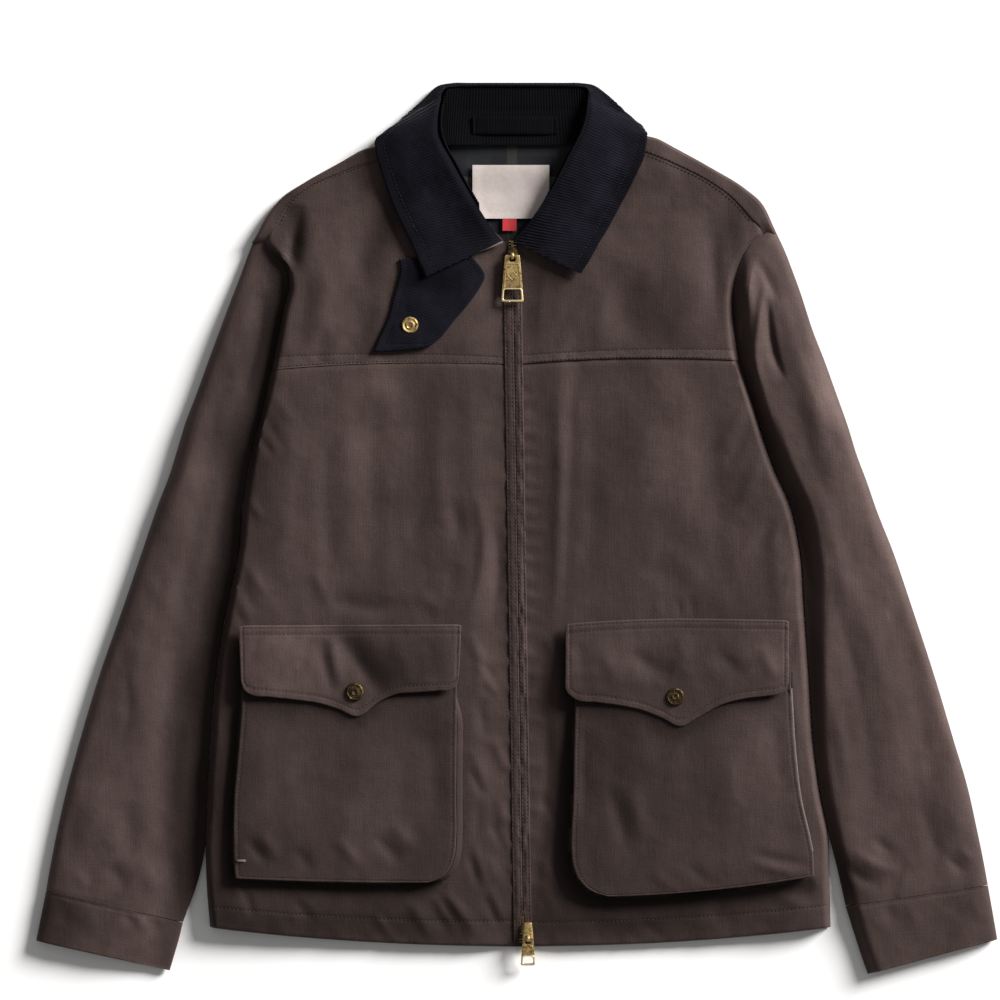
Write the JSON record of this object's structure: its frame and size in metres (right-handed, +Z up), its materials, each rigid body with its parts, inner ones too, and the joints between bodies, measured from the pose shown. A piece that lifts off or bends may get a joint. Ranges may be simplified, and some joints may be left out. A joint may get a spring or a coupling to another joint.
{
  "type": "waxed cotton jacket",
  "caption": "Waxed cotton work jacket with a corduroy collar, zip front and flapped bellows pockets, laid flat on its back with its sleeves out to the sides.",
  "frame": {"origin": "on the surface that the jacket lies on, under the middle of its bounding box", "axes": "+X towards the wearer's left sleeve, +Y from the hem to the collar, +Z up off the surface, out of the jacket's front"},
  "size_m": [0.8655, 0.8, 0.022],
  "materials": {
    "waxed_cotton": "dry waxed cotton twill, slightly lighter where it is rubbed",
    "corduroy": "fine needlecord, about 2.5 mm between wales",
    "tartan_lining": "dark checked cotton lining",
    "neck_label": "blank woven label",
    "size_tab": "blank woven tab",
    "zip_tape": "woven zip tape",
    "pale_lining": "pocket lining cotton",
    "brass": "antiqued brass, brighter on its edges",
    "aged_brass": "dark antiqued brass"
  },
  "bodies": {
    "garment": {"back": "waxed_cotton", "bottom_slider": "aged_brass", "collar_fall": "corduroy", "collar_stand": "corduroy", "cuff_left": "waxed_cotton", "cuff_right": "waxed_cotton", "flap_snap_left": "aged_brass", "flap_snap_right": "aged_brass", "front_left": "waxed_cotton", "front_right": "waxed_cotton", "gusset_bottom_left": "waxed_cotton", "gusset_bottom_right": "waxed_cotton", "gusset_inner_left": "waxed_cotton", "gusset_inner_right": "waxed_cotton", "gusset_outer_left": "waxed_cotton", "gusset_outer_right": "waxed_cotton", "hanger_loop": "corduroy", "neck_label": "neck_label", "neck_lining": "tartan_lining", "pocket_face_left": "waxed_cotton", "pocket_face_right": "waxed_cotton", "pocket_flap_left": "waxed_cotton", "pocket_flap_right": "waxed_cotton", "pocket_lining_left": "pale_lining", "size_tab": "size_tab", "sleeve_left": "waxed_cotton", "sleeve_right": "waxed_cotton", "throat_snap": "brass", "throat_tab": "corduroy", "top_slider": "aged_brass", "yoke_left": "waxed_cotton", "yoke_right": "waxed_cotton", "zip_chain": "brass", "zip_guard_left": "waxed_cotton", "zip_guard_right": "waxed_cotton", "zip_tape_left": "zip_tape", "zip_tape_right": "zip_tape"},
    "top_pull": {"top_pull": "brass"},
    "bottom_pull": {"bottom_pull": "brass"}
  },
  "joints": [
    {"name": "top_pull_swing", "type": "hinge", "parent": "garment", "child": "top_pull", "pos_m": [-0.0042, 0.246, 0.0136], "axis": [-1, 0, 0], "range_deg": [0, 150]},
    {"name": "bottom_pull_swing", "type": "hinge", "parent": "garment", "child": "bottom_pull", "pos_m": [0.0098, -0.3665, 0.0132], "axis": [-1, 0, 0], "range_deg": [0, 150]}
  ]
}
